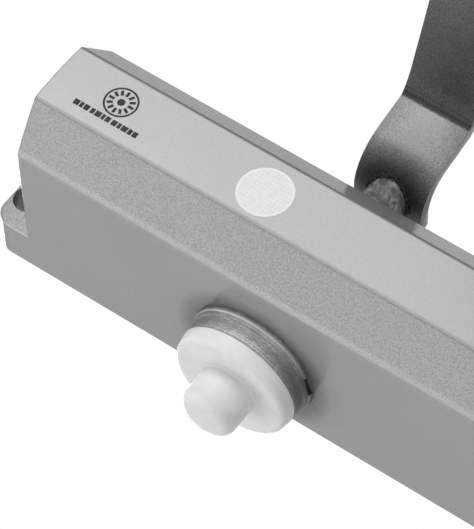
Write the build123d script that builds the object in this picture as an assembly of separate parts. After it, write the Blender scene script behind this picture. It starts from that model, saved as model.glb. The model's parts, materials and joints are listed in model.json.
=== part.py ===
from build123d import *
import math
import os

# Surface door closer: a rack and pinion body with a jointed arm. Lengths are in millimetres.
# X runs along the body, +Y points into the door and +Z points up the pinion shaft to the arm.
# The origin is the centre of the four screw holes, on the face that lies on the door.

# Fits, shared by all pieces
running_gap = 0.03      # radial gap where one piece turns or slides in another
seat_gap = 0.05         # radial gap where a piece is screwed or pressed in
overrun = 1.0           # how far a cut runs past the face that it opens
quarter_turn = 90
quarters = 4            # quarter turns in a full turn
socket_sides = 6

# Body casting
body_length = 152.0
body_width = 38.0       # across the body, along the pinion shaft
body_depth = 58.0       # out from the door
front_flat = 18.3       # width of the flat front face
bevel_depth = 11.6      # how far back from the front the bevels start
front_round = 0.7
side_round = 1.8
end_round = 0.6
end_crown = 1.4         # how far the middle of each end stands out past its sides
lug_length = 11.0
lug_thickness = 12.0
lug_corner = 5.0
screw_from_end = 6.5    # from the body's end to the holes in its lug
screw_pitch_z = 20.0
screw_hole_radius = 3.9

# Cylinder and its end plugs
cylinder_radius = 13.0
cylinder_from_door = 25.6
plug_length = 14.0
plug_recess = 0.2
plug_step = 0.3         # the plug's thread is this much larger than the cylinder
plug_socket_flats = 8.0
plug_socket_depth = 6.0
plug_ring_wire = 1.0    # radius of the rubber ring's own section
plug_ring_inset = 3.5

# Pinion and rack
pinion_from_end = 69.0  # from the body's left end
pinion_from_door = 17.6
tooth_module = 1.25
tooth_count = 12
pressure_angle = 25
tooth_play = 0.1        # taken off each tooth's thickness
root_share = 1.25       # tooth depth below the pitch line, in modules
opening_angle = 180     # the arm's full turn
pinion_bore_gap = 0.55
journal_radius = 6.0
journal_end = 23.0      # where the round shaft turns square
square_flats = 6.6
shaft_end = 37.4
shaft_chamfer = 0.6
shaft_hole_radius = 2.1
shaft_hole_depth = 13.0
thrust_thickness = 0.6
thrust_radius = 9.0
end_play = 0.05

# Pinion nuts, with their bushes and seals
nut_thread_radius = 14.0
nut_seat = 14.5         # from the body's middle to the nut's inner end
nut_height = 6.45       # above the body's side
nut_lip_radius = 17.2
nut_lip_height = 1.2
nut_step_radius = 16.7
nut_step_height = 1.0
nut_groove_radius = 16.0
nut_groove_height = 1.6
nut_land_radius = 16.3
nut_chamfer = 0.55
nut_recess_radius = 12.7
nut_recess_depth = 3.45
notch_angle = 11        # turn of the spanner notches from the body's length
notch_width = 6.3
bush_radius = 8.5
bush_length = 4.7
nut_web = 0.8           # wall between the bush and the seal
nut_web_gap = 0.1
seal_radius = 9.0
seal_lip_width = 1.1
seal_lip_depth = 0.9
nut_ring_wire = 0.8
nut_ring_inset = 1.8    # from the body's side to the rubber ring

# Plastic cap over the lower shaft end
cap_rim_radius = 16.4
cap_rim_height = 4.15   # of the flange, out from the nut
cap_shoulder_radius = 15.7
cap_shoulder_round = 1.7
cap_dish = 0.6          # how much the flange sinks towards the nose
cap_nose_radius = 7.55
cap_nose_height = 14.5  # out from the nut
cap_nose_round = 3.57
cap_nose_root = 0.9
cap_wall = 1.3
cap_web = 1.9
cap_spigot_length = 3.0

# Piston
piston_left_gap = 5.0   # from the left plug to the piston
window_gap = 1.25       # from the pinion's teeth to each end of the window
piston_right_length = 18.0
spring_pocket_depth = 13.0
spring_pocket_radius = 10.9

# Check valve in the piston
ball_radius = 2.4
ball_chamber_gap = 0.3
ball_passage_radius = 1.5
ball_lift = 0.8
ball_gap = 0.05
ball_chamber_depth = 7.0
ball_below_axis = 5.0
ball_ring_width = 1.0
ball_ring_hole = 1.6

# Springs
spring_seat_thickness = 2.5
spring_seat_gap = 0.5
spring_guide_length = 8.0
spring_guide_radius = 3.6
outer_wire = 1.7        # radius of the wire
outer_coil = 8.8        # radius of the wire's centre line
outer_pitch = 8.0
inner_wire = 1.0
inner_coil = 5.0
inner_pitch = 5.0
closed_turns = 1        # turns that lie closed at each end
spring_close_gap = 0.5

# Adjusting valves
valve_bore_radius = 3.2
valve_from_middle = 7.0
valve_recess = 1.0
valve_slot_width = 1.0
valve_slot_depth = 1.6
valve_ring_wire = 0.7
valve_ring_inset = 4.0
gallery_radius = 1.2
closing_inlet = 27.0    # from the body's left end
latching_inlet = 16.5
return_port = 26.0      # from the body's right end
seat_after_inlet = 3.5
land_before_inlet = 2.5
needle_gap = 0.3
needle_reach = 0.5

# Main arm
arm_width = 20.0
arm_thickness = 3.2
arm_level = 37.6        # the hub plate's lower face, from the body's middle
arm_lift = 38.5         # from the hub plate up to the arm's long run
arm_reach = 190.0
rise_foot = 8.4         # from the shaft's axis out to the foot of the rise
rise_lean = 4.05        # how far the rise leans out
rise_height = 20.7
kick_length = 3.5
kick_height = 2.9
slope_length = 38.5
foot_bend = 13.0
crease_bend = 1.2
kick_bend = 20.0
slope_bend = 40.0
hub_radius = 5.6
hub_length = 10.6
hub_end_corner = 4.0    # rounding of the arm's corners behind the hub
weld_size = 0.8
weld_drop = 0.9         # how far the bead runs down the boss
arm_screw_length = 10.0
arm_screw_hole_radius = 2.4
arm_screw_head_radius = 4.2
arm_screw_head_height = 4.5
arm_screw_socket_flats = 4.0
arm_screw_socket_depth = 2.5
arm_washer_radius = 4.4
arm_washer_thickness = 1.0
spot_radius = 4.7       # flat sunk into the bend for the screw's head

# Elbow
elbow_pin_radius = 4.0
elbow_head_radius = 7.5
elbow_head_height = 2.4
elbow_foot_height = 1.6
elbow_washer_radius = 9.0
elbow_washer_thickness = 0.8
rivet_round = 0.7

# Forearm
forearm_length = 240.0
eye_radius = 9.5
eye_thickness = 5.0
tongue_length = 30.0
tongue_width = 11.0
sleeve_radius = 6.0
sleeve_start = 17.0
sleeve_end = 120.0
sleeve_bore_start = 32.0
sleeve_lift = 1.2       # from the arm's top face to the sleeve
collar_radius = 8.4
collar_length = 22.0
collar_chamfer = 0.8
clamp_screw_radius = 2.5
clamp_screw_inset = 6.0
clamp_screw_pitch = 10.0
clamp_screw_stand = 1.2
clamp_socket_flats = 2.5
clamp_socket_depth = 2.0
rod_radius = 4.0
rod_start = 62.0
rod_flat_length = 15.0
rod_eye_radius = 7.0
rod_eye_thickness = 5.0
rod_chamfer = 0.8

# Frame shoe
shoe_pin_radius = 3.0
shoe_pin_from_frame = 22.0
shoe_plate_length = 62.0
shoe_plate_height = 22.0
shoe_plate_thickness = 4.0
shoe_plate_corner = 4.0
shoe_screw_pitch = 44.0
shoe_screw_radius = 2.75
shoe_sink_radius = 5.0
shoe_sink_depth = 2.2
shoe_ear_radius = 8.0
shoe_ear_root = 11.0
shoe_ear_thickness = 3.4
shoe_ear_gap = 0.2
shoe_head_radius = 5.0
shoe_head_height = 1.8

# Round label on the front face
label_radius = 7.03
label_thickness = 0.12
label_left_of_shaft = 8.66
label_below_middle = 0.7

# Places worked out from the sizes above
half_length = body_length / 2
end_reach = half_length + end_crown
half_width = body_width / 2
shaft_x = pinion_from_end - half_length
screw_pitch_x = body_length + 2 * screw_from_end
shaft_y = -pinion_from_door
cylinder_y = -cylinder_from_door
pitch_radius = tooth_module * tooth_count / 2
tip_radius = pitch_radius + tooth_module
root_radius = pitch_radius - tooth_module * root_share
rack_pitch = math.pi * tooth_module
stroke = pitch_radius * math.radians(opening_angle)
rack_y = shaft_y - pitch_radius
thread_radius = cylinder_radius + plug_step
plug_inner = half_length - plug_length
piston_left = piston_left_gap - plug_inner
window_left = shaft_x - stroke - tip_radius - window_gap
window_right = shaft_x + tip_radius + window_gap
piston_right = window_right + piston_right_length
ball_y = cylinder_y - ball_below_axis
ball_seat = piston_left + ball_chamber_depth
ball_x = ball_seat - math.sqrt(ball_radius ** 2 - ball_passage_radius ** 2) - ball_gap
spring_left = piston_right - spring_pocket_depth
spring_right = plug_inner - spring_seat_thickness
nut_top = half_width + nut_height
nut_floor = nut_top - nut_recess_depth
bush_top = nut_seat + bush_length
seal_foot = bush_top + nut_web
arm_top = arm_level + arm_lift + arm_thickness
hub_top = arm_level + arm_thickness
elbow_y = shaft_y - arm_reach
eye_foot = arm_top + elbow_washer_thickness
eye_top = eye_foot + eye_thickness
sleeve_z = arm_top + sleeve_lift + sleeve_radius
forearm_rise = arm_reach + pinion_from_door - shoe_pin_from_frame
forearm_angle = math.degrees(math.asin(forearm_rise / forearm_length))
shoe_x = shaft_x + math.sqrt(forearm_length ** 2 - forearm_rise ** 2)
shoe_pin_y = -shoe_pin_from_frame
valve_y = -(cylinder_from_door + thread_radius + body_depth) / 2

CENTRED = (Align.CENTER, Align.CENTER, Align.MIN)


def rod_z(radius, low, high, x=shaft_x, y=shaft_y):
    """Round bar along Z."""
    return Pos(x, y, low) * Cylinder(radius, high - low, align=CENTRED)


def rod_x(radius, low, high, y, z=0):
    """Round bar along X."""
    return Pos(low, y, z) * Rot(0, quarter_turn, 0) * Cylinder(radius, high - low, align=CENTRED)


def rod_y(radius, low, high, x, z=0):
    """Round bar along Y."""
    return Pos(x, low, z) * Rot(-quarter_turn, 0, 0) * Cylinder(radius, high - low, align=CENTRED)


def block(x, y, z):
    """Box between three pairs of limits."""
    size = (x[1] - x[0], y[1] - y[0], z[1] - z[0])
    return Pos(x[0], y[0], z[0]) * Box(*size, align=(Align.MIN, Align.MIN, Align.MIN))


def outline(corners):
    """Face inside a closed line of (u, v, rounding) corners."""
    places = [corner[:2] for corner in corners]
    return make_face(FilletPolyline(*places, radius=[corner[2] for corner in corners], close=True))


def turned(corners):
    """Solid turned about the pinion shaft's axis from (radius, height, rounding) corners."""
    return Pos(shaft_x, shaft_y, 0) * revolve(Plane.XZ * outline(corners), axis=Axis.Z)


def socket_bar(flats, length):
    """Six-sided bar along Z, for sockets and bolt heads."""
    return extrude(RegularPolygon(flats / 2, socket_sides, major_radius=False), length)


def rubber_ring_x(wire, outer, x, y, z=0):
    """Ring of round section about a line along X, with the outer radius given."""
    return Pos(x, y, z) * Rot(0, quarter_turn, 0) * Torus(outer - wire, wire)


def other_side(piece):
    """The same piece on the other side of the body's middle."""
    return mirror(piece, about=Plane.XY)


def body_casting():
    """Casting with its lugs, cylinder, pinion bores, valve bores and oilways."""
    shoulder = bevel_depth - body_depth
    section = outline([
        (0, -half_width, 0),
        (shoulder, -half_width, side_round),
        (-body_depth, -front_flat / 2, front_round),
        (-body_depth, front_flat / 2, front_round),
        (shoulder, half_width, side_round),
        (0, half_width, 0),
    ])
    prism = extrude(Plane.YZ.offset(-end_reach) * section, 2 * end_reach)
    plan = make_face([
        Line((-half_length, -half_width), (half_length, -half_width)),
        ThreePointArc((half_length, -half_width), (end_reach, 0), (half_length, half_width)),
        Line((half_length, half_width), (-half_length, half_width)),
        ThreePointArc((-half_length, half_width), (-end_reach, 0), (-half_length, -half_width)),
    ])
    crowned = extrude(Plane.XZ * plan, body_depth)
    body = prism & crowned
    end_edges = [
        edge for edge in body.edges()
        if abs(edge.center().X) > half_length - overrun and edge.center().Y < -lug_thickness
        and edge.bounding_box().size.X < lug_corner
    ]
    body = fillet(end_edges, end_round)
    reach = half_length + lug_length
    lug_plan = outline([
        (-reach, -half_width, lug_corner),
        (reach, -half_width, lug_corner),
        (reach, half_width, lug_corner),
        (-reach, half_width, lug_corner),
    ])
    lugs = extrude(Plane.XZ * lug_plan, lug_thickness)
    front = lugs.faces().sort_by(Axis.Y)[0]
    top_edges = front.edges().filter_by(lambda edge: abs(edge.center().X) > half_length)
    lugs = chamfer(top_edges, end_round)
    body += lugs
    body -= rod_x(cylinder_radius, -half_length, half_length, cylinder_y)
    for start, end in ((-end_reach - overrun, -plug_inner), (plug_inner, end_reach + overrun)):
        body -= rod_x(thread_radius, start, end, cylinder_y)
    body -= rod_z(tip_radius + pinion_bore_gap, -nut_seat, nut_seat)
    body -= rod_z(nut_thread_radius, nut_seat, half_width + overrun)
    body -= rod_z(nut_thread_radius, -half_width - overrun, -nut_seat)
    for x in (-screw_pitch_x / 2, screw_pitch_x / 2):
        for z in (-screw_pitch_z / 2, screw_pitch_z / 2):
            body -= rod_y(screw_hole_radius, -lug_thickness - overrun, overrun, x, z)
    for inlet, z in valve_places():
        seat = inlet + seat_after_inlet
        outlet = half_length - return_port
        body -= rod_x(valve_bore_radius, -end_reach - overrun, seat, valve_y, z)
        body -= rod_x(gallery_radius, seat, outlet, valve_y, z)
        for port in (inlet, outlet):
            body -= rod_y(gallery_radius, valve_y, cylinder_y, port, z)
    return body


def valve_places():
    """Inlet and height of the closing valve, then of the latching valve."""
    return (
        (closing_inlet - half_length, valve_from_middle),
        (latching_inlet - half_length, -valve_from_middle),
    )


def end_plug():
    """Right end plug: a threaded disc with a six-sided socket and a ring groove."""
    outer = half_length - plug_recess
    radius = thread_radius - seat_gap
    groove = plug_inner + plug_ring_inset
    plug = rod_x(radius, plug_inner, outer, cylinder_y)
    ring_cut = rod_x(radius + overrun, groove - plug_ring_wire, groove + plug_ring_wire, cylinder_y)
    ring_cut -= rod_x(radius - 2 * plug_ring_wire, plug_inner, outer, cylinder_y)
    socket = Pos(outer - plug_socket_depth, cylinder_y, 0) * Rot(0, quarter_turn, 0)
    return plug - ring_cut - socket * socket_bar(plug_socket_flats, plug_socket_depth + overrun)


def plug_ring():
    """Rubber ring in the right plug's groove."""
    return rubber_ring_x(plug_ring_wire, thread_radius - seat_gap, plug_inner + plug_ring_inset, cylinder_y)


def left_side(piece):
    """The same piece at the body's other end."""
    return mirror(piece, about=Plane.YZ)


def pinion_nut():
    """Upper nut: thread, lip with two spanner notches, turned ring, bush, seal and cap pockets."""
    lip = half_width + nut_lip_height
    step = lip + nut_step_height
    groove = step + nut_groove_height
    land_top = nut_top - nut_chamfer
    thread = nut_thread_radius - seat_gap
    nut = turned([
        (journal_radius + nut_web_gap, bush_top, 0),
        (bush_radius, bush_top, 0),
        (bush_radius, nut_seat, 0),
        (thread, nut_seat, 0),
        (thread, half_width, 0),
        (nut_lip_radius, half_width, 0),
        (nut_lip_radius, lip, 0),
        (nut_step_radius, lip, 0),
        (nut_step_radius, step, 0),
        (nut_groove_radius, step, 0),
        (nut_groove_radius, groove, 0),
        (nut_land_radius, groove, 0),
        (nut_land_radius, land_top, 0),
        (nut_land_radius - nut_chamfer, nut_top, 0),
        (nut_recess_radius, nut_top, 0),
        (nut_recess_radius, nut_floor, 0),
        (seal_radius, nut_floor, 0),
        (seal_radius, seal_foot, 0),
        (journal_radius + nut_web_gap, seal_foot, 0),
    ])
    ring = half_width - nut_ring_inset
    groove_cut = rod_z(nut_thread_radius + overrun, ring - nut_ring_wire, ring + nut_ring_wire)
    groove_cut -= rod_z(thread - 2 * nut_ring_wire, nut_seat, half_width)
    nut -= groove_cut
    for turn in (-notch_angle, 2 * quarter_turn - notch_angle):
        notch = block((nut_land_radius, nut_lip_radius + overrun), (-notch_width / 2, notch_width / 2),
                      (half_width - overrun, lip + overrun))
        nut -= Pos(shaft_x, shaft_y, 0) * Rot(0, 0, turn) * notch
    return nut


def nut_ring():
    """Rubber ring in the upper nut's groove."""
    outer = nut_thread_radius - seat_gap
    return Pos(shaft_x, shaft_y, half_width - nut_ring_inset) * Torus(outer - nut_ring_wire, nut_ring_wire)


def shaft_bush():
    """Upper bush that the pinion shaft turns in."""
    bush = rod_z(bush_radius - seat_gap, nut_seat, bush_top)
    return bush - rod_z(journal_radius + running_gap, nut_seat, bush_top)


def shaft_seal():
    """Upper rubber seal, with the groove behind its lip."""
    inner = journal_radius + seat_gap
    outer = seal_radius - seat_gap
    lip = inner + seal_lip_width / 2
    return turned([
        (inner, seal_foot, 0),
        (outer, seal_foot, 0),
        (outer, nut_floor, 0),
        (lip + seal_lip_width, nut_floor, 0),
        (lip + seal_lip_width, nut_floor - seal_lip_depth, 0),
        (lip, nut_floor - seal_lip_depth, 0),
        (inner, nut_floor, 0),
    ])


def thrust_washer():
    """Upper washer between the pinion's teeth and the nut."""
    low = nut_seat - thrust_thickness
    washer = rod_z(thrust_radius, low, nut_seat - end_play / 2)
    return washer - rod_z(journal_radius + seat_gap, low, nut_seat)


def pinion_cap():
    """Plastic cap with a spigot, a dished flange and a hollow nose, over the lower shaft end."""
    foot = nut_top
    flange = foot + cap_rim_height
    nose = foot + cap_nose_height
    nose_bore = cap_nose_radius - cap_wall
    spigot = nut_recess_radius - seat_gap
    cap = turned([
        (spigot, foot - cap_spigot_length, 0),
        (spigot, foot, 0),
        (cap_rim_radius, foot, 0),
        (cap_shoulder_radius, flange, cap_shoulder_round),
        (cap_nose_radius + cap_nose_root, flange - cap_dish, 0),
        (cap_nose_radius, flange - cap_dish + cap_nose_root, 0),
        (cap_nose_radius, nose, cap_nose_round),
        (0, nose, 0),
        (0, nose - cap_wall, 0),
        (nose_bore, nose - cap_wall, cap_nose_round - cap_wall),
        (nose_bore, foot + cap_web, 0),
        (spigot - cap_wall, foot + cap_web, 0),
        (spigot - cap_wall, foot - cap_spigot_length, 0),
    ])
    return other_side(cap)


def tooth_half_angle(radius):
    """Half the angle that one pinion tooth covers at a radius, from the involute curve."""
    pressure = math.radians(pressure_angle)
    base = pitch_radius * math.cos(pressure)
    thickness = rack_pitch / 2 - tooth_play
    local = math.acos(min(base / radius, 1))
    return thickness / pitch_radius / 2 + (math.tan(pressure) - pressure) - (math.tan(local) - local)


def pinion_shaft():
    """Shaft in one piece with its pinion: two journals, two square ends and two tapped holes."""
    base = pitch_radius * math.cos(math.radians(pressure_angle))
    middle = (base + tip_radius) / 2
    step = 2 * math.pi / tooth_count

    def spot(radius, angle):
        return (radius * math.cos(angle), radius * math.sin(angle))

    def arc(*spots):
        return ThreePointArc(*(spot(radius, angle) for radius, angle in spots))

    low, mid, tip = (tooth_half_angle(radius) for radius in (base, middle, tip_radius))
    edges = []
    for tooth in range(tooth_count):
        centre = tooth * step - math.pi / 2
        edges += [
            Line(spot(root_radius, centre - low), spot(base, centre - low)),
            arc((base, centre - low), (middle, centre - mid), (tip_radius, centre - tip)),
            arc((tip_radius, centre - tip), (tip_radius, centre), (tip_radius, centre + tip)),
            arc((tip_radius, centre + tip), (middle, centre + mid), (base, centre + low)),
            Line(spot(base, centre + low), spot(root_radius, centre + low)),
            arc((root_radius, centre + low), (root_radius, centre + step / 2),
                (root_radius, centre + step - low)),
        ]
    half_face = nut_seat - thrust_thickness - end_play
    teeth = extrude(Pos(shaft_x, shaft_y, -half_face) * make_face(edges), 2 * half_face)
    shaft = teeth + rod_z(journal_radius, -journal_end, journal_end)
    square = block((-square_flats / 2, square_flats / 2), (-square_flats / 2, square_flats / 2),
                   (-shaft_end, shaft_end))
    square = chamfer(square.faces().filter_by(Axis.Z).edges(), shaft_chamfer)
    shaft += Pos(shaft_x, shaft_y, 0) * square
    tapped = rod_z(shaft_hole_radius, shaft_end - shaft_hole_depth, shaft_end)
    return shaft - tapped - other_side(tapped)


def piston():
    """Piston with the rack in its open window, the check valve's bore and the spring pocket."""
    radius = cylinder_radius - running_gap
    body = rod_x(radius, piston_left, piston_right, cylinder_y)
    rack_tip = rack_y + tooth_module
    rack_root = rack_y - tooth_module * root_share
    body -= block((window_left, window_right), (rack_tip, 0), (-half_width, half_width))
    slope = math.tan(math.radians(pressure_angle))
    half_gap = (rack_pitch / 2 + tooth_play) / 2
    tip_half = half_gap + (rack_tip - rack_y) * slope
    root_half = half_gap - (rack_y - rack_root) * slope
    gap = extrude(outline([
        (-root_half, rack_root, 0),
        (root_half, rack_root, 0),
        (tip_half, rack_tip, 0),
        (tip_half, rack_tip + overrun, 0),
        (-tip_half, rack_tip + overrun, 0),
        (-tip_half, rack_tip, 0),
    ]), half_width, both=True)
    first = math.ceil((window_left + tip_half - shaft_x) / rack_pitch)
    last = math.floor((window_right - tip_half - shaft_x) / rack_pitch)
    for tooth in range(first, last + 1):
        body -= Pos(shaft_x + tooth * rack_pitch, 0, 0) * gap
    body -= rod_x(spring_pocket_radius, spring_left, piston_right + overrun, cylinder_y)
    body -= rod_x(ball_radius + ball_chamber_gap, piston_left - overrun, ball_seat, ball_y)
    return body - rod_x(ball_passage_radius, ball_seat, window_left + overrun, ball_y)


def check_ball():
    """Steel ball that lets oil back through the piston as the door opens."""
    return Pos(ball_x, ball_y, 0) * Sphere(ball_radius)


def check_ball_ring():
    """Ring that keeps the ball in its chamber."""
    high = ball_x - ball_radius - ball_lift - ball_gap
    ring = rod_x(ball_radius + ball_chamber_gap - seat_gap, high - ball_ring_width, high, ball_y)
    return ring - rod_x(ball_ring_hole, high - ball_ring_width, high, ball_y)


def spring_turns(wire, pitch):
    """Whole turns of a spring that fills the space at rest, and the free turns' real pitch."""
    end_pitch = 2 * wire + spring_close_gap
    free_rise = spring_right - spring_left - 2 * wire - 2 * closed_turns * end_pitch
    free_turns = max(round(free_rise / pitch), 1)
    return free_turns + 2 * closed_turns, free_rise / free_turns


def spring_point(turn, wire, coil, pitch, hand):
    """Place and direction on the spring's centre line after a number of turns, at rest."""
    turns, free_pitch = spring_turns(wire, pitch)
    closed = closed_turns
    end_pitch = 2 * wire + spring_close_gap

    def climb(value):
        ramp = min(value, closed) + max(value - (turns - closed), 0)
        return ramp * end_pitch + (value - ramp) * free_pitch

    slope = end_pitch if turn < closed or turn > turns - closed else free_pitch
    angle = 2 * math.pi * turn * hand
    around = 2 * math.pi * coil * hand
    x = spring_left + wire + climb(turn)
    place = Vector(x, cylinder_y + coil * math.cos(angle), coil * math.sin(angle))
    heading = Vector(slope, -around * math.sin(angle), around * math.cos(angle)).normalized()
    return place, heading


def coil_spring(wire, coil, pitch, hand):
    """Spring of round wire, each quarter turn as two arcs, with a closed turn at each end."""
    edges = []
    turns = spring_turns(wire, pitch)[0]
    start, heading = spring_point(0, wire, coil, pitch, hand)
    first_place, first_heading = start, heading
    for quarter in range(1, quarters * turns + 1):
        end, end_heading = spring_point(quarter / quarters, wire, coil, pitch, hand)
        across = end - start
        along = across.dot(heading + end_heading)
        bend = 2 * (heading.dot(end_heading) - 1)
        reach = (along - math.sqrt(along ** 2 - bend * across.dot(across))) / bend
        first_corner = start + heading * reach
        second_corner = end - end_heading * reach
        middle = (first_corner + second_corner) / 2
        edges.append(Edge.make_tangent_arc(start, heading, middle))
        edges.append(Edge.make_tangent_arc(middle, second_corner - first_corner, end))
        start, heading = end, end_heading
    path = Wire(edges)
    section = Plane(origin=first_place, z_dir=first_heading) * Circle(wire)
    return sweep(section, path=path)


def spring_seat():
    """Seat and guide for the springs, against the right plug."""
    seat = rod_x(cylinder_radius - spring_seat_gap, spring_right, plug_inner, cylinder_y)
    return seat + rod_x(spring_guide_radius, spring_right - spring_guide_length, spring_right, cylinder_y)


def valve_screw(inlet, z):
    """Adjusting screw with a needle point, a ring groove and a slot for a screwdriver."""
    head = valve_recess - half_length
    land = inlet - land_before_inlet
    seat = inlet + seat_after_inlet
    radius = valve_bore_radius - seat_gap
    groove = head + valve_ring_inset
    needle_radius = gallery_radius - needle_gap
    screw = rod_x(radius, head, land, valve_y, z)
    needle = extrude(Plane.YZ.offset(land) * Circle(radius - needle_gap), seat - land,
                     taper=math.degrees(math.atan((radius - needle_gap - needle_radius) / (seat - land))))
    screw += Pos(0, valve_y, z) * needle
    screw += rod_x(needle_radius, land, seat + needle_reach, valve_y, z)
    ring_cut = rod_x(radius + overrun, groove - valve_ring_wire, groove + valve_ring_wire, valve_y, z)
    ring_cut -= rod_x(radius - 2 * valve_ring_wire, head, land, valve_y, z)
    slot = block((head - overrun, head + valve_slot_depth),
                 (valve_y - valve_bore_radius, valve_y + valve_bore_radius),
                 (z - valve_slot_width / 2, z + valve_slot_width / 2))
    return screw - ring_cut - slot


def valve_ring(z):
    """Rubber ring in a valve screw's groove."""
    groove = valve_recess - half_length + valve_ring_inset
    return rubber_ring_x(valve_ring_wire, valve_bore_radius - seat_gap, groove, valve_y, z)


def bent_strip(points, bends, thickness):
    """Face of a bent strip, from its lower line of corners, each bend's radius and its thickness."""
    lower, upper = [(*points[0], 0)], []
    steps = [(b[0] - a[0], b[1] - a[1]) for a, b in zip(points, points[1:])]
    lengths = [math.hypot(*step) for step in steps]
    normals = [(step[1] / length, -step[0] / length) for step, length in zip(steps, lengths)]
    upper.append((points[0][0] + normals[0][0] * thickness, points[0][1] + normals[0][1] * thickness, 0))
    for index, radius in enumerate(bends):
        before, after = normals[index], normals[index + 1]
        share = thickness / (1 + before[0] * after[0] + before[1] * after[1])
        corner = points[index + 1]
        shifted = (corner[0] + (before[0] + after[0]) * share, corner[1] + (before[1] + after[1]) * share)
        turn = before[0] * after[1] - before[1] * after[0]
        lower.append((*corner, radius))
        upper.append((*shifted, radius - math.copysign(thickness, -turn)))
    end, last = points[-1], normals[-1]
    lower.append((*end, 0))
    upper.append((end[0] + last[0] * thickness, end[1] + last[1] * thickness, 0))
    return outline(lower + upper[::-1])


def arm_plan(low, high):
    """The main arm seen from above, round at the elbow and squarer at the hub, over a range of heights."""
    half = arm_width / 2
    plan = outline([
        (shaft_x - half, elbow_y, 0),
        (shaft_x - half, shaft_y + half, hub_end_corner),
        (shaft_x + half, shaft_y + half, hub_end_corner),
        (shaft_x + half, elbow_y, 0),
    ])
    return extrude(Pos(0, 0, low) * plan, high - low) + rod_z(half, low, high, shaft_x, elbow_y)


def arm_line():
    """Corners of the arm's lower face, from behind the shaft to past the elbow."""
    foot = (shaft_y - rise_foot, arm_level)
    crease = (foot[0] - rise_lean, arm_level + rise_height)
    kick = (crease[0] - kick_length, crease[1] + kick_height)
    slope = (kick[0] - slope_length, arm_level + arm_lift)
    return [(shaft_y + arm_width, arm_level), foot, crease, kick, slope, (elbow_y - arm_width, slope[1])]


def main_arm():
    """Flat steel arm, bent up from its hub plate and then out to the elbow."""
    strip = bent_strip(arm_line(), [foot_bend, crease_bend, kick_bend, slope_bend], arm_thickness)
    low, high = arm_level - overrun, arm_top + overrun
    arm = extrude(Plane.YZ.offset(shaft_x) * strip, arm_width, both=True)
    arm = arm & arm_plan(low, high)
    arm -= rod_z(arm_screw_hole_radius, low, hub_top + overrun)
    arm -= rod_z(spot_radius, hub_top, hub_top + rise_height / 2)
    pin_hole = rod_z(elbow_pin_radius + seat_gap, hub_top, high, shaft_x, elbow_y)
    return arm - pin_hole


def under_foot(radius, low):
    """Round bar on the shaft's axis, cut off where it meets the arm's curved lower face."""
    behind, foot, crease, *_ = arm_line()
    above = outline([(*behind, 0), (*foot, foot_bend), (*crease, 0), (behind[0], crease[1], 0)])
    bar = rod_z(radius, low, crease[1])
    return bar - extrude(Plane.YZ.offset(shaft_x) * above, arm_width, both=True)


def arm_hub():
    """Boss under the arm with the square socket that fits the shaft."""
    low = arm_level - hub_length
    half = square_flats / 2 + seat_gap
    socket = block((-half, half), (-half, half), (low - overrun, arm_level))
    hub = under_foot(hub_radius, low) - Pos(shaft_x, shaft_y, 0) * socket
    return hub - rod_z(arm_screw_hole_radius, low, hub_top + rise_height / 2)


def arm_weld():
    """Weld bead along the line where the boss meets the arm."""
    low = arm_level - weld_drop
    below = Pos(0, 0, -weld_drop) * under_foot(hub_radius + weld_size + overrun, low)
    return under_foot(hub_radius + weld_size, low) - below - rod_z(hub_radius, low, arm_top)


def arm_washer():
    """Washer under the arm screw's head."""
    washer = rod_z(arm_washer_radius, hub_top, hub_top + arm_washer_thickness)
    return washer - rod_z(shaft_hole_radius + seat_gap, hub_top, hub_top + arm_washer_thickness)


def arm_screw():
    """Socket screw that holds the arm on the shaft."""
    foot = hub_top + arm_washer_thickness
    head_top = foot + arm_screw_head_height
    screw = rod_z(shaft_hole_radius - seat_gap, shaft_end - arm_screw_length, foot)
    screw += rod_z(arm_screw_head_radius, foot, head_top)
    socket = socket_bar(arm_screw_socket_flats, arm_screw_socket_depth + overrun)
    return screw - Pos(shaft_x, shaft_y, head_top - arm_screw_socket_depth) * socket


def elbow_pin():
    """Rivet that joins the main arm to the forearm."""
    low = arm_top - arm_thickness
    foot = rod_z(elbow_head_radius, low - elbow_foot_height, low, shaft_x, elbow_y)
    foot = fillet(foot.edges().sort_by(Axis.Z)[0], rivet_round)
    head = rod_z(elbow_head_radius, eye_top, eye_top + elbow_head_height, shaft_x, elbow_y)
    head = fillet(head.edges().sort_by(Axis.Z)[-1], rivet_round)
    return foot + head + rod_z(elbow_pin_radius, low, eye_top, shaft_x, elbow_y)


def elbow_washer():
    """Plastic washer between the arm and the forearm's eye."""
    washer = rod_z(elbow_washer_radius, arm_top, eye_foot, shaft_x, elbow_y)
    return washer - rod_z(elbow_pin_radius + seat_gap, arm_top, eye_foot, shaft_x, elbow_y)


def along_forearm(piece):
    """Places a piece that was drawn along X from the elbow at zero on the real forearm's line."""
    return Pos(shaft_x, elbow_y, 0) * Rot(0, 0, forearm_angle) * piece


def forearm_sleeve():
    """Tube with a flat eye at the elbow and a clamping collar at its other end."""
    sleeve = rod_z(eye_radius, eye_foot, eye_top, 0, 0)
    sleeve += block((0, tongue_length), (-tongue_width / 2, tongue_width / 2), (eye_foot, eye_top))
    sleeve += rod_x(sleeve_radius, sleeve_start, sleeve_end, 0, sleeve_z)
    collar = rod_x(collar_radius, sleeve_end - collar_length, sleeve_end, 0, sleeve_z)
    sleeve += chamfer(collar.edges().filter_by(GeomType.CIRCLE), collar_chamfer)
    sleeve -= rod_x(rod_radius + running_gap, sleeve_bore_start, sleeve_end + overrun, 0, sleeve_z)
    sleeve -= rod_z(elbow_pin_radius + seat_gap, eye_foot, eye_top, 0, 0)
    for x in clamp_screw_places():
        sleeve -= rod_z(clamp_screw_radius, sleeve_z, sleeve_z + collar_radius + overrun, x, 0)
    return along_forearm(sleeve)


def clamp_screw_places():
    """Distances of the two clamp screws from the elbow."""
    outer = sleeve_end - clamp_screw_inset
    return (outer - clamp_screw_pitch, outer)


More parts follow.
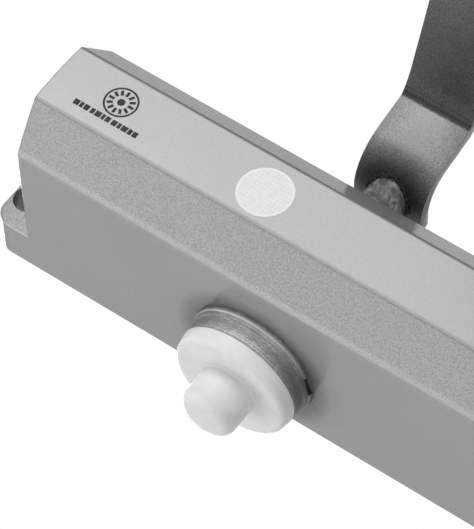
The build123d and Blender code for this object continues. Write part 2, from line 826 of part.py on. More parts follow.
def clamp_screws():
    """Two socket screws that hold the rod in the sleeve."""
    low = sleeve_z + rod_radius + seat_gap
    high = sleeve_z + collar_radius + clamp_screw_stand
    screws = []
    for x in clamp_screw_places():
        screw = rod_z(clamp_screw_radius - seat_gap, low, high, x, 0)
        socket = socket_bar(clamp_socket_flats, clamp_socket_depth + overrun)
        screws.append(along_forearm(screw - Pos(x, 0, high - clamp_socket_depth) * socket))
    return Compound(children=screws)


def forearm_rod():
    """Round rod that slides in the sleeve, with a flat eye for the shoe's pin."""
    flat_start = forearm_length - rod_flat_length
    low = sleeve_z - rod_eye_thickness / 2
    high = sleeve_z + rod_eye_thickness / 2
    rod = rod_x(rod_radius, rod_start, flat_start, 0, sleeve_z)
    rod = chamfer(rod.edges().sort_by(Axis.X)[0], rod_chamfer)
    rod += block((flat_start, forearm_length), (-rod_radius, rod_radius), (low, high))
    rod += rod_z(rod_eye_radius, low, high, forearm_length, 0)
    return along_forearm(rod - rod_z(shoe_pin_radius + seat_gap, low, high, forearm_length, 0))


def frame_shoe():
    """Bracket for the door frame: a plate with two countersunk holes and two ears for the pin."""
    half_plate = shoe_plate_length / 2
    half_height = shoe_plate_height / 2
    plate = extrude(Plane.XZ * outline([
        (-half_plate, -half_height, shoe_plate_corner),
        (half_plate, -half_height, shoe_plate_corner),
        (half_plate, half_height, shoe_plate_corner),
        (-half_plate, half_height, shoe_plate_corner),
    ]), shoe_plate_thickness)
    inner = rod_eye_thickness / 2 + shoe_ear_gap
    root = -shoe_plate_thickness / 2
    ear = extrude(Pos(0, 0, inner) * outline([
        (-shoe_ear_root, root, 0),
        (-shoe_ear_radius, shoe_pin_y, 0),
        (-shoe_ear_radius, shoe_pin_y - shoe_ear_radius, shoe_ear_radius - seat_gap),
        (shoe_ear_radius, shoe_pin_y - shoe_ear_radius, shoe_ear_radius - seat_gap),
        (shoe_ear_radius, shoe_pin_y, 0),
        (shoe_ear_root, root, 0),
    ]), shoe_ear_thickness)
    shoe = plate + ear + mirror(ear, about=Plane.XY)
    for x in (-shoe_screw_pitch / 2, shoe_screw_pitch / 2):
        shoe -= rod_y(shoe_screw_radius, -shoe_plate_thickness, 0, x)
        sink = Pos(x, -shoe_plate_thickness, 0) * Rot(-quarter_turn, 0, 0)
        shoe -= sink * Cone(shoe_sink_radius, shoe_screw_radius, shoe_sink_depth, align=CENTRED)
    shoe -= rod_z(shoe_pin_radius + seat_gap, -half_height, half_height, 0, shoe_pin_y)
    return Pos(shoe_x, 0, sleeve_z) * shoe


def shoe_pin():
    """Headed pin through the shoe's ears, peened over at its foot."""
    outer = rod_eye_thickness / 2 + shoe_ear_gap + shoe_ear_thickness
    pin = rod_z(shoe_pin_radius, sleeve_z - outer, sleeve_z + outer, shoe_x, shoe_pin_y)
    for low in (sleeve_z - outer - shoe_head_height, sleeve_z + outer):
        pin += rod_z(shoe_head_radius, low, low + shoe_head_height, shoe_x, shoe_pin_y)
    return pin


def round_label():
    """Round label stuck on the front face."""
    x = shaft_x - label_left_of_shaft
    return rod_y(label_radius, -body_depth - label_thickness, -body_depth, x, -label_below_middle)


closing, latching = valve_places()
pieces = {
    "body_casting": body_casting(),
    "right_end_plug": end_plug(),
    "left_end_plug": left_side(end_plug()),
    "right_plug_ring": plug_ring(),
    "left_plug_ring": left_side(plug_ring()),
    "upper_pinion_nut": pinion_nut(),
    "lower_pinion_nut": other_side(pinion_nut()),
    "upper_nut_ring": nut_ring(),
    "lower_nut_ring": other_side(nut_ring()),
    "upper_shaft_bush": shaft_bush(),
    "lower_shaft_bush": other_side(shaft_bush()),
    "upper_shaft_seal": shaft_seal(),
    "lower_shaft_seal": other_side(shaft_seal()),
    "pinion_cap": pinion_cap(),
    "round_label": round_label(),
    "spring_seat": spring_seat(),
    "outer_main_spring": coil_spring(outer_wire, outer_coil, outer_pitch, 1),
    "inner_main_spring": coil_spring(inner_wire, inner_coil, inner_pitch, -1),
    "piston": piston(),
    "check_ball_ring": check_ball_ring(),
    "check_ball": check_ball(),
    "closing_valve_screw": valve_screw(*closing),
    "closing_valve_ring": valve_ring(closing[1]),
    "latching_valve_screw": valve_screw(*latching),
    "latching_valve_ring": valve_ring(latching[1]),
    "pinion_shaft": pinion_shaft(),
    "upper_thrust_washer": thrust_washer(),
    "lower_thrust_washer": other_side(thrust_washer()),
    "main_arm": main_arm(),
    "arm_hub": arm_hub(),
    "arm_weld": arm_weld(),
    "arm_washer": arm_washer(),
    "arm_screw": arm_screw(),
    "elbow_pin": elbow_pin(),
    "elbow_washer": elbow_washer(),
    "forearm_sleeve": forearm_sleeve(),
    "clamp_screws": clamp_screws(),
    "forearm_rod": forearm_rod(),
    "frame_shoe": frame_shoe(),
    "shoe_pin": shoe_pin(),
}

os.makedirs("parts", exist_ok=True)
for name, piece in pieces.items():
    export_step(piece, f"parts/{name}.step")
    print(name, round(piece.volume, 1))
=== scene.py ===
# %% [markdown]
# A surface door closer in silver-grey paint, seen from below and to the right, as it looks
# beside a door's top edge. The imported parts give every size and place, so the work here is
# the finish: paint, bare steel, plastic, rubber and a rough weld. Loading the frame comes
# first, because all the later measures are read from it.

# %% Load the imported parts
import json
import math

import bmesh
import bpy
from mathutils import Matrix, Vector, noise


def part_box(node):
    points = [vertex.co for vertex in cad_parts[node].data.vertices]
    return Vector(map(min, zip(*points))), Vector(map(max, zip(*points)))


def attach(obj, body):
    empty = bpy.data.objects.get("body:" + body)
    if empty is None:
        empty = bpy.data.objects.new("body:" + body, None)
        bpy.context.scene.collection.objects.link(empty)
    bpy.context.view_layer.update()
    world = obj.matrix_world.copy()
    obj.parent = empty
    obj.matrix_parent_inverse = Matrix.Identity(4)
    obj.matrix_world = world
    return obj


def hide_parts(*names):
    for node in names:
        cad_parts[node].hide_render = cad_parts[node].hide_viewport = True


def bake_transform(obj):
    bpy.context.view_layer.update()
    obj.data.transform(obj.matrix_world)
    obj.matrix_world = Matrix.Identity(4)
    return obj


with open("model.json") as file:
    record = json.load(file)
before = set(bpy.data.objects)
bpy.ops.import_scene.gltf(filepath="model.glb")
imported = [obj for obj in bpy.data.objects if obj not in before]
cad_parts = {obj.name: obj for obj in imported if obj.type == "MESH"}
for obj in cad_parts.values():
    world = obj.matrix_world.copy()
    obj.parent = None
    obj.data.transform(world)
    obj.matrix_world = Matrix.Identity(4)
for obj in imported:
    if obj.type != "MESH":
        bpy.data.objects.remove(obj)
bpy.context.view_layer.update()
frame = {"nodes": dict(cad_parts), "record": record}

# %% [markdown]
# The places that finishes and added pieces need are all edges or axes of parts: the pinion
# shaft's axis, the cylinder's axis, the front face, the bevels and the left end. Reading them
# from the parts' boxes keeps this script right if a part is moved. Four sizes that no box
# shows are written out: the lug's length, the rise of the end's crown, how far back the
# bevels reach and half the height of the flat front between them.

# %% Axes and faces of the closer
mm = 0.001
lug_length = 11 * mm
end_crown = 1.4 * mm
bevel_depth = 11.6 * mm
front_half_flat = 9.15 * mm

body_low, body_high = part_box("body_casting")
shaft_low, shaft_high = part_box("pinion_shaft")
piston_low, piston_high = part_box("piston")
nut_low, nut_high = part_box("upper_pinion_nut")

shaft_x = (shaft_low[0] + shaft_high[0]) / 2
shaft_y = (shaft_low[1] + shaft_high[1]) / 2
shaft_axis = (shaft_x, shaft_y, 0)
cylinder_y = (piston_low[1] + piston_high[1]) / 2
cylinder_axis = (0, cylinder_y, 0)
half_width = body_high[2]
front_y = body_low[1]
left_side = body_low[0] + lug_length
nut_lip = (nut_high[0] - nut_low[0]) / 2
quarter_turn = math.pi / 2
print("shaft axis", round(shaft_x, 4), round(shaft_y, 4), "front", round(front_y, 4))

# %% [markdown]
# The camera looks up from below, in front and to the right, and leans over to one side. Its
# direction is easiest to keep as the three directions of its own frame: to the right of the
# picture, up the picture and back towards the camera. A long lens gives the flat look of a
# catalogue picture. Blender fits the sensor to the picture's longer side, which is its height.

# %% Camera
view_right = Vector((0.81211, 0.02547, 0.58295))
view_up = Vector((-0.47156, -0.55976, 0.68140))
view_back = Vector((0.34367, -0.82826, -0.44258))
camera_place = Vector((0.27709, -0.74817, -0.38972))
picture_height = 529
focal_pixels = 3620.976
sensor = 36.0
nearest_seen = 0.05
farthest_seen = 20

camera_data = bpy.data.cameras.new("catalogue_camera")
camera = bpy.data.objects.new("catalogue_camera", camera_data)
bpy.context.scene.collection.objects.link(camera)
turn = Matrix((view_right, view_up, view_back)).transposed().to_4x4()
camera.matrix_world = Matrix.Translation(camera_place) @ turn
camera_data.sensor_width = sensor
camera_data.lens = focal_pixels / picture_height * sensor
camera_data.clip_start = nearest_seen
camera_data.clip_end = farthest_seen
bpy.context.scene.camera = camera
bpy.context.scene.view_settings.view_transform = "Standard"
print("lens", round(camera_data.lens, 1), "mm")

# %% [markdown]
# A studio for a small grey casting is a white room with five broad lamps: one in front, one
# to the right, one below, one above and one behind. Broad lamps keep the shadows soft. The
# room shows as plain white to the camera and in reflections, and lights the parts much less,
# so the paint keeps the colour that it is given.

# %% Node helpers
def add_node(tree, kind, inputs=None, **options):
    """Adds a node, sets its options, and fills or links its inputs."""
    node = tree.nodes.new(kind)
    for key, value in options.items():
        setattr(node, key, value)
    for key, value in (inputs or {}).items():
        if isinstance(value, bpy.types.NodeSocket):
            tree.links.new(value, node.inputs[key])
        else:
            node.inputs[key].default_value = value
    return node


def maths(tree, operation, first, second=0.0):
    """One calculation with one or two values."""
    node = add_node(tree, "ShaderNodeMath", operation=operation, inputs={0: first, 1: second})
    return node.outputs[0]


def seen_rays(tree):
    """1 for what the camera, a mirror or glass sees, and 0 for light that falls on the parts."""
    path = add_node(tree, "ShaderNodeLightPath")
    seen = maths(tree, "MAXIMUM", path.outputs["Is Camera Ray"], path.outputs["Is Glossy Ray"])
    return maths(tree, "MAXIMUM", seen, path.outputs["Is Transmission Ray"])


# %% White room
room_light = 0.25

world = bpy.data.worlds.new("white_room")
bpy.context.scene.world = world
world.use_nodes = True
tree = world.node_tree
tree.nodes.clear()
fill = add_node(tree, "ShaderNodeBackground", inputs={
    "Color": (0.97, 0.98, 1, 1), "Strength": room_light})
white = add_node(tree, "ShaderNodeBackground", inputs={"Color": (1, 1, 1, 1), "Strength": 1})
either = add_node(tree, "ShaderNodeMixShader", inputs={
    0: seen_rays(tree), 1: fill.outputs[0], 2: white.outputs[0]})
add_node(tree, "ShaderNodeOutputWorld", inputs={"Surface": either.outputs[0]})
print("room light", room_light)

# %% Lamps
centre = Vector((0, front_y / 2, 0))


def soft_lamp(name, direction, distance, size, brightness):
    """Square lamp that faces the closer. Brightness is what it adds to a face turned to it."""
    data = bpy.data.lights.new(name, "AREA")
    data.size = size
    data.energy = brightness * math.pi ** 2 * distance ** 2
    lamp = bpy.data.objects.new(name, data)
    bpy.context.scene.collection.objects.link(lamp)
    towards = Vector(direction).normalized()
    lamp.location = centre + towards * distance
    lamp.rotation_euler = towards.to_track_quat("Z", "Y").to_euler()
    lamp.visible_camera = False
    print(name, "power", round(data.energy, 1))


soft_lamp("front_lamp", direction=(-0.344, -0.91, 0.2), distance=0.65, size=0.26, brightness=0.55)
soft_lamp("right_lamp", direction=(0.95, -0.35, -0.6), distance=0.4, size=0.35, brightness=0.15)
soft_lamp("low_lamp", direction=(-0.5, 0.1, -0.85), distance=0.4, size=0.4, brightness=0.38)
soft_lamp("top_lamp", direction=(0.3, 0.6, 1), distance=1.0, size=0.5, brightness=0.4)
soft_lamp("back_lamp", direction=(-0.5, 1, 0.35), distance=1.0, size=0.5, brightness=0.5)

# %% Floor
floor_level = -0.75
floor_half = 12.0
shape = bmesh.new()
bmesh.ops.create_grid(shape, x_segments=1, y_segments=1, size=floor_half)
bmesh.ops.translate(shape, verts=shape.verts, vec=(0, 0, floor_level))
floor_mesh = bpy.data.meshes.new("studio_floor")
shape.to_mesh(floor_mesh)
shape.free()
floor = bpy.data.objects.new("studio_floor", floor_mesh)
bpy.context.scene.collection.objects.link(floor)
print("floor at", floor_level)

# %% [markdown]
# Real finishes differ from a flat colour in three ways that many of these parts share: a fine
# grain in the paint or casting, the fine rings that a lathe leaves, and broad faint smudges
# from handling. Each is a node group with its own size, so every material uses the same
# pattern at its own scale. All patterns work in millimetres, read from object coordinates.

# %% Places in millimetres
def millimetres(tree, centre=(0, 0, 0), turn=(0, 0, 0)):
    """Object coordinates in millimetres, turned and then measured from a centre."""
    coordinates = add_node(tree, "ShaderNodeTexCoord")
    mapping = add_node(tree, "ShaderNodeMapping", inputs={
        "Vector": coordinates.outputs["Object"], "Location": [-value / mm for value in centre],
        "Rotation": turn, "Scale": (1 / mm, 1 / mm, 1 / mm)})
    return mapping.outputs[0]


def split(tree, vector):
    """The X, Y and Z of a vector."""
    return add_node(tree, "ShaderNodeSeparateXYZ", inputs={0: vector}).outputs


def length_of(tree, first, second):
    """Length of a step whose two parts are at right angles."""
    step = add_node(tree, "ShaderNodeCombineXYZ", inputs={0: first, 1: second})
    length = add_node(tree, "ShaderNodeVectorMath", operation="LENGTH", inputs={0: step.outputs[0]})
    return length.outputs["Value"]


# %% Values and colours
def between(tree, value, start, end, low=0.0, high=1.0):
    """Value moved from one range into another and held there."""
    node = add_node(tree, "ShaderNodeMapRange", inputs={
        "Value": value, "From Min": start, "From Max": end, "To Min": low, "To Max": high})
    return node.outputs[0]


def scaled(tree, mask, low, high):
    """Mask from 0 to 1 moved into another range."""
    return between(tree, mask, 0.0, 1.0, low, high)


def product(tree, first, *others):
    """Several values multiplied."""
    for other in others:
        first = maths(tree, "MULTIPLY", first, other)
    return first


def mixed(tree, share, first, second):
    """Colour between two colours."""
    node = add_node(tree, "ShaderNodeMix", data_type="RGBA", inputs={0: share, 6: first, 7: second})
    return node.outputs[2]


def grey(level, tint=(1, 1, 1)):
    """Colour of one brightness with a slight tint."""
    return (level * tint[0], level * tint[1], level * tint[2], 1)


# %% Shared groups
def new_group(name, outputs):
    """Empty shader group that takes a place and a size, with named outputs."""
    group = bpy.data.node_groups.new(name, "ShaderNodeTree")
    for label, kind in (("Vector", "NodeSocketVector"), ("Size", "NodeSocketFloat")):
        group.interface.new_socket(name=label, in_out="INPUT", socket_type=kind)
    for label in outputs:
        group.interface.new_socket(name=label, in_out="OUTPUT", socket_type="NodeSocketFloat")
    print("group", name)
    return group, group.nodes.new("NodeGroupInput"), group.nodes.new("NodeGroupOutput")


# %% Fine grain
fine_grain, given, result = new_group("fine_grain", ["Mask", "Height"])
rate = maths(fine_grain, "DIVIDE", 1.0, given.outputs["Size"])
cloud = add_node(fine_grain, "ShaderNodeTexNoise", inputs={
    "Vector": given.outputs["Vector"], "Scale": rate, "Detail": 3.0, "Roughness": 0.65})
flake = add_node(fine_grain, "ShaderNodeTexVoronoi", inputs={
    "Vector": given.outputs["Vector"], "Scale": rate, "Randomness": 1.0})
specks = between(fine_grain, cloud.outputs["Fac"], 0.34, 0.66)
fine_grain.links.new(specks, result.inputs["Mask"])
height = maths(fine_grain, "SUBTRACT", cloud.outputs["Fac"], flake.outputs["Distance"])
fine_grain.links.new(height, result.inputs["Height"])

# %% Lathe rings
lathe_rings, given, result = new_group("lathe_rings", ["Mask", "Height"])
across, up, along = split(lathe_rings, given.outputs["Vector"])
travel = maths(lathe_rings, "ADD", length_of(lathe_rings, across, up), along)
ring = maths(lathe_rings, "DIVIDE", travel, given.outputs["Size"])
lines = add_node(lathe_rings, "ShaderNodeTexNoise", noise_dimensions="1D", inputs={
    "W": ring, "Scale": 1.0, "Detail": 3.0, "Roughness": 0.6})
lathe_rings.links.new(between(lathe_rings, lines.outputs["Fac"], 0.3, 0.7), result.inputs["Mask"])
lathe_rings.links.new(lines.outputs["Fac"], result.inputs["Height"])

# %% Smudges
smudges, given, result = new_group("smudges", ["Mask"])
rate = maths(smudges, "DIVIDE", 1.0, given.outputs["Size"])
cloud = add_node(smudges, "ShaderNodeTexNoise", inputs={
    "Vector": given.outputs["Vector"], "Scale": rate, "Detail": 4.0, "Roughness": 0.55,
    "Distortion": 0.4})
smudges.links.new(between(smudges, cloud.outputs["Fac"], 0.35, 0.7), result.inputs["Mask"])


# %% Material helpers
def pattern(tree, group, vector, size):
    """One shared group placed in a material."""
    node = add_node(tree, "ShaderNodeGroup", node_tree=group)
    tree.links.new(vector, node.inputs["Vector"])
    node.inputs["Size"].default_value = size
    return node.outputs


def raised(tree, height, depth):
    """Normal of a relief of that depth, in millimetres."""
    node = add_node(tree, "ShaderNodeBump", inputs={"Height": height, "Distance": depth * mm})
    return node.outputs[0]


def new_finish(name):
    """Empty material with its node tree."""
    material = bpy.data.materials.new(name)
    material.use_nodes = True
    material.node_tree.nodes.clear()
    return material, material.node_tree


def surface(tree, colour, roughness, normal=None, **constants):
    """The one shader of a material. Constants are set on its own sockets."""
    inputs = {"Base Color": colour, "Roughness": roughness}
    if normal is not None:
        inputs["Normal"] = normal
    shader = add_node(tree, "ShaderNodeBsdfPrincipled", inputs=inputs)
    for label, value in constants.items():
        shader.inputs[label.replace("_", " ")].default_value = value
    add_node(tree, "ShaderNodeOutputMaterial", inputs={"Surface": shader.outputs[0]})
    return shader


# %% [markdown]
# The body is a die casting under silver-grey paint. Its front and sides are smooth and its
# bevels are left coarser, so they look darker and speckled. Flakes in the paint lie flat, so
# a face seen at a slant looks darker, and a clear coat over them mirrors what is around when
# seen almost edge on. The zones are picked by distance from the front face and from the
# middle of the body, all in millimetres.

# %% Marks on the paint
bevel_back = (front_y + bevel_depth) / mm
side_out = half_width / mm
lip_out = nut_lip / mm
body_end = -left_side / mm
front_line = 0.75
contact_shade_width = 5.5


def corner_shade_line(tree, depth, out):
    """Painted shade: a dark line along the corner where the front meets a bevel."""
    up = maths(tree, "SUBTRACT", out, front_half_flat / mm)
    back = maths(tree, "SUBTRACT", depth, front_y / mm)
    return between(tree, length_of(tree, up, back), front_line, front_line / 3)


def nut_contact_shade(tree):
    """Painted contact shade: a dark ring on the sides around each pinion nut."""
    place = millimetres(tree, shaft_axis)
    along, across, height = split(tree, place)
    reach = length_of(tree, along, across)
    near = between(tree, reach, lip_out + contact_shade_width, lip_out + 0.5, 0.0, 0.85)
    level = maths(tree, "ABSOLUTE", height)
    on_side = between(tree, level, side_out - 0.3, side_out - 0.05)
    patches = pattern(tree, smudges, place, 2.5)
    return product(tree, near, on_side, scaled(tree, patches["Mask"], 0.75, 1.0))


def lower_half(tree, height):
    """1 below the middle of the body and 0 above it."""
    return between(tree, height, 0.5, -0.5)


def slant_shade(tree, colour):
    """Colour that darkens as the paint is seen more at a slant."""
    angle = add_node(tree, "ShaderNodeLayerWeight", inputs={"Blend": 0.5})
    slant = maths(tree, "POWER", angle.outputs["Facing"], 1.5)
    return mixed(tree, between(tree, slant, 0.07, 0.715, 0.0, 0.85), colour, grey(0))


# %% [markdown]
# Along the outer edge of the lower bevel a painted highlight makes a paler line, with a darker
# line of painted shade beside it on the side. The upper bevel's outer edge has dark lines of
# painted shade alone. All of them stop where the body's straight stretch ends. Where the bevels
# meet the front, a dark line of painted shade follows each corner, and the upper one is the darker.

# %% Bevel edges
highlight_out = 1.9
highlight_in = 1.2
edge_shade_out = 1.1
edge_shade_in = 0.5
edge_fade = 1.0


def bevel_edges(tree, colour, place, side, grain):
    """Adds a painted highlight line and painted shade lines along the bevels' outer edges."""
    along, depth, height = split(tree, place)
    from_edge = maths(tree, "SUBTRACT", maths(tree, "ABSOLUTE", height), side_out)
    from_bevel = maths(tree, "SUBTRACT", depth, bevel_back)
    reach = length_of(tree, from_edge, from_bevel)
    lower = lower_half(tree, height)
    upper = scaled(tree, lower, 1.0, 0.0)
    within = between(tree, maths(tree, "ABSOLUTE", along), body_end + edge_fade, body_end)
    # Painted highlight: a paler line along the lower bevel's outer edge.
    edge_highlight = product(tree, between(tree, reach, highlight_out, highlight_in, 0.0, 0.6), lower,
                   scaled(tree, grain, 0.3, 1.0), within)
    colour = mixed(tree, edge_highlight, colour, grey(0.62))
    # Painted shade: dark lines along the bevels' outer edges.
    beside = product(tree, side, between(tree, from_bevel, highlight_out, edge_shade_out, 0.0, 0.35))
    above = product(tree, between(tree, reach, edge_shade_out, edge_shade_in, 0.0, 0.65), upper)
    dark = product(tree, maths(tree, "MAXIMUM", beside, above), within)
    return mixed(tree, dark, colour, grey(0.12))


# %% Body paint
def body_paint():
    """Silver-grey paint, smooth on the front and sides and grainy on the bevels."""
    material, tree = new_finish("silver_grey_body_paint")
    place = millimetres(tree)
    depth, height = split(tree, place)[1:]
    out = maths(tree, "ABSOLUTE", height)
    front = between(tree, depth, front_y / mm + 0.3, front_y / mm + 0.05)
    side = between(tree, out, side_out - 0.4, side_out - 0.05)
    smooth = maths(tree, "MAXIMUM", front, side)
    grain = pattern(tree, fine_grain, place, 0.42)
    fine = pattern(tree, fine_grain, place, 0.3)
    haze = pattern(tree, smudges, place, 26.0)
    coarse = mixed(tree, grain["Mask"], grey(0.29), grey(0.48, (1, 1, 1.01)))
    flat = mixed(tree, fine["Mask"], grey(0.55), grey(0.63))
    line = corner_shade_line(tree, depth, out)
    colour = slant_shade(tree, mixed(tree, smooth, coarse, flat))
    colour = bevel_edges(tree, colour, place, side, grain["Mask"])
    colour = mixed(tree, 0.08, colour, mixed(tree, haze["Mask"], colour, grey(0.5)))
    # Painted shade along both front corners, darker on the upper one.
    corner = product(tree, line, scaled(tree, lower_half(tree, height), 0.8, 0.25))
    colour = mixed(tree, corner, colour, grey(0.11))
    # Painted contact shade on the sides around each pinion nut.
    colour = mixed(tree, nut_contact_shade(tree), colour, grey(0.07))
    roughness = scaled(tree, grain["Mask"], 0.42, 0.56)
    relief = product(tree, grain["Height"], scaled(tree, smooth, 1.0, 0.12))
    shader = surface(tree, colour, roughness, raised(tree, relief, 0.05), Specular_IOR_Level=0.1,
                     Coat_Roughness=0.12)
    tree.links.new(between(tree, line, 0.0, 0.4, 0.6, 0.0), shader.inputs["Coat Weight"])
    return material


# %% [markdown]
# The arms are rolled steel strip under the same kind of paint, a little darker and evenly
# speckled all over. Metal flakes in the paint make it bright where it faces the lamp and dark
# elsewhere. Dark streaks lie across the arm beyond the crease, 12.5 mm out from the shaft. Round
# the hub the paint is darker: weld soot, and painted shade where the arm's foot bends down.

# %% Arm paint
crease_out = 12.5
streak_end = crease_out + 3.0
soot_and_shade_full = 8.0
soot_and_shade_end = 12.5


def crease_streaks(tree, out, haze):
    """Dark streaks across the arm just beyond its crease."""
    start = between(tree, out, crease_out - 0.1, crease_out + 0.3)
    end = between(tree, out, streak_end, streak_end - 1.4)
    streaks = add_node(tree, "ShaderNodeTexNoise", noise_dimensions="1D", inputs={
        "W": out, "Scale": 1.6, "Detail": 2.0})
    return product(tree, start, end, between(tree, streaks.outputs["Fac"], 0.4, 0.6, 0.3, 0.8),
                   scaled(tree, haze, 1.0, 0.6))


def arm_paint():
    """Darker grey paint with an even grain over rolled steel."""
    material, tree = new_finish("speckled_arm_paint")
    place = millimetres(tree)
    grain = pattern(tree, fine_grain, place, 0.38)
    haze = pattern(tree, smudges, place, 18.0)["Mask"]
    across, along = split(tree, millimetres(tree, shaft_axis))[:2]
    reach = length_of(tree, across, along)
    out = maths(tree, "MULTIPLY", along, -1.0)
    # Weld soot and painted shade darken the arm around the hub.
    soot_and_shade = product(tree, between(tree, reach, soot_and_shade_end, soot_and_shade_full, 0.0, 0.8),
                   scaled(tree, haze, 0.7, 1.0))
    colour = mixed(tree, grain["Mask"], grey(0.09), grey(0.23, (1, 1, 1.01)))
    colour = mixed(tree, product(tree, haze, 0.3), colour, grey(0.1))
    colour = mixed(tree, soot_and_shade, colour, grey(0.03))
    colour = mixed(tree, crease_streaks(tree, out, haze), colour, grey(0.03))
    roughness = scaled(tree, grain["Mask"], 0.42, 0.54)
    surface(tree, colour, roughness, raised(tree, grain["Height"], 0.02), Metallic=0.85)
    return material


# %% [markdown]
# Bare steel shows how it was made. A nut or plug comes off a lathe with fine rings about its
# axis, a plated screw is smooth with a faint mottle, and a ground shaft is brighter still.
# One function makes them all, given the axis, the ring spacing and the colours.

# %% Steel
def steel(name, dark, light, rough, ring_size, mottle_size, centre=(0, 0, 0), turn=(0, 0, 0),
          depth=0.02):
    """Bare metal with rings about an axis and a faint mottle."""
    material, tree = new_finish(name)
    place = millimetres(tree, centre, turn)
    rings = pattern(tree, lathe_rings, place, ring_size)
    mottle = pattern(tree, smudges, place, mottle_size)["Mask"]
    colour = mixed(tree, rings["Mask"], dark, light)
    colour = mixed(tree, 0.45, colour, mixed(tree, mottle, colour, dark))
    roughness = scaled(tree, mottle, rough, rough + 0.16)
    surface(tree, colour, roughness, raised(tree, rings["Height"], depth), Metallic=0.9)
    return material


# %% [markdown]
# The pinion nuts are turned more coarsely than the rest. Painted shade darkens them towards
# either end along the body, a painted highlight runs along the lip's outer edge, and shade is
# painted black into the two spanner notches, which are turned 11 degrees from the body's length.

# %% Nut steel
notch_turn = math.radians(11)
notch_half = 3.2
notch_depth = 1.5
lip_thick = 1.2
dark_from = 7.0
dark_to = 15.5


def lip_highlight(tree, height, shaded_ends):
    """Painted highlight along the outer edge of the lip, weaker where the nut is shaded."""
    start = between(tree, height, side_out + 0.55, side_out + 0.85)
    end = between(tree, height, side_out + lip_thick + 0.1, side_out + lip_thick)
    return product(tree, start, end, between(tree, shaded_ends, 0.0, 0.7, 0.6, 0.1))


def notch_shade(tree, place, height):
    """Mask over the two spanner notches in the lip, where shade is painted."""
    turned = add_node(tree, "ShaderNodeMapping", inputs={
        "Vector": place, "Rotation": (0, 0, notch_turn)})
    across, beside = split(tree, turned.outputs[0])[:2]
    outer = between(tree, maths(tree, "ABSOLUTE", across), lip_out - notch_depth - 0.1,
                    lip_out - notch_depth + 0.2)
    inside = between(tree, maths(tree, "ABSOLUTE", beside), notch_half + 0.1, notch_half - 0.1)
    in_lip = between(tree, height, side_out + lip_thick + 0.05, side_out + lip_thick - 0.1)
    return product(tree, outer, inside, in_lip)


def nut_steel():
    """Coarsely turned nut steel with painted shade in its two spanner notches."""
    material, tree = new_finish("turned_nut_steel")
    place = millimetres(tree, shaft_axis)
    parts = split(tree, place)
    along = maths(tree, "ABSOLUTE", parts["X"])
    height = maths(tree, "ABSOLUTE", parts["Z"])
    rings = pattern(tree, lathe_rings, place, 0.22)
    grain = pattern(tree, fine_grain, place, 0.45)
    mottle = pattern(tree, smudges, place, 3.0)
    tone = product(tree, maths(tree, "ADD", rings["Mask"], grain["Mask"]), 0.5)
    shaded_ends = between(tree, along, dark_from, dark_to, 0.0, 0.7)
    notch_shade_mask = notch_shade(tree, place, height)
    colour = mixed(tree, tone, grey(0.14), grey(0.88, (1, 0.99, 0.98)))
    colour = mixed(tree, product(tree, mottle["Mask"], 0.35), colour, grey(0.14))
    # Painted shade towards either end of the nut along the body.
    colour = mixed(tree, shaded_ends, colour, grey(0.05))
    # Painted highlight along the lip's outer edge.
    colour = mixed(tree, lip_highlight(tree, height, shaded_ends), colour, grey(0.9))
    # Painted shade: the spanner notches go nearly black.
    colour = mixed(tree, notch_shade_mask, colour, grey(0.006))
    roughness = scaled(tree, grain["Mask"], 0.42, 0.62)
    relief = maths(tree, "ADD", rings["Height"], product(tree, grain["Height"], 0.6))
    shader = surface(tree, colour, roughness, raised(tree, relief, 0.06))
    tree.links.new(scaled(tree, notch_shade_mask, 0.3, 0.0), shader.inputs["Metallic"])
    return material


# %% [markdown]
# Iron that is cast, blasted or burnt has no direction: a coarse grain, stronger in some
# patches than in others, is enough for the piston, the arm's hub and the weld.

# %% Cast iron and scale
def rough_metal(name, dark, light, grain_size, rough, depth, metallic):
    """Cast or burnt metal with a coarse grain."""
    material, tree = new_finish(name)
    place = millimetres(tree)
    grain = pattern(tree, fine_grain, place, grain_size)
    patches = pattern(tree, smudges, place, grain_size * 4)
    colour = mixed(tree, product(tree, grain["Mask"], patches["Mask"]), dark, light)
    roughness = scaled(tree, grain["Mask"], rough - 0.1, rough + 0.1)
    surface(tree, colour, roughness, raised(tree, grain["Height"], depth), Metallic=metallic)
    return material


# %% [markdown]
# The sealing rings are black rubber: matt, with a faint grey bloom in patches. Two blacks that
# are nearly alike and a high roughness make it.

# %% Rubber
def rubber():
    """Matt black rubber with a faint bloom."""
    material, tree = new_finish("black_seal_rubber")
    place = millimetres(tree)
    bloom = pattern(tree, smudges, place, 3.0)
    grain = pattern(tree, fine_grain, place, 0.2)
    colour = mixed(tree, bloom["Mask"], grey(0.018), grey(0.035))
    roughness = scaled(tree, grain["Mask"], 0.55, 0.7)
    surface(tree, colour, roughness, raised(tree, grain["Height"], 0.01))
    return material


# %% [markdown]
# The cap is milky plastic: light sinks in and comes out softened, which is what subsurface
# scattering does. Moulding leaves it very slightly uneven, so a low, broad relief and a
# little variation in gloss are enough.

# %% White plastic
def milky_plastic():
    """Slightly clear white plastic, moulded with a faint unevenness."""
    material, tree = new_finish("milky_cap_plastic")
    place = millimetres(tree, shaft_axis)
    flow = pattern(tree, smudges, place, 5.0)["Mask"]
    grain = pattern(tree, fine_grain, place, 0.5)
    colour = mixed(tree, flow, grey(0.82, (1, 1, 0.99)), grey(0.88))
    roughness = scaled(tree, flow, 0.42, 0.52)
    relief = maths(tree, "ADD", flow, product(tree, grain["Height"], 0.15))
    surface(tree, colour, roughness, raised(tree, relief, 0.04), Subsurface_Weight=0.35,
            Subsurface_Scale=0.002, Subsurface_Radius=(1.0, 1.0, 0.95), Specular_IOR_Level=0.3)
    return material


# %% [markdown]
# The round label is thin white film with a faint woven grid pressed into it. Two sets of
# lines about a millimetre apart make the grid, and a few greyer patches stand for the uneven
# shine of film stuck over paint. Its rim is left plain and a little paler.

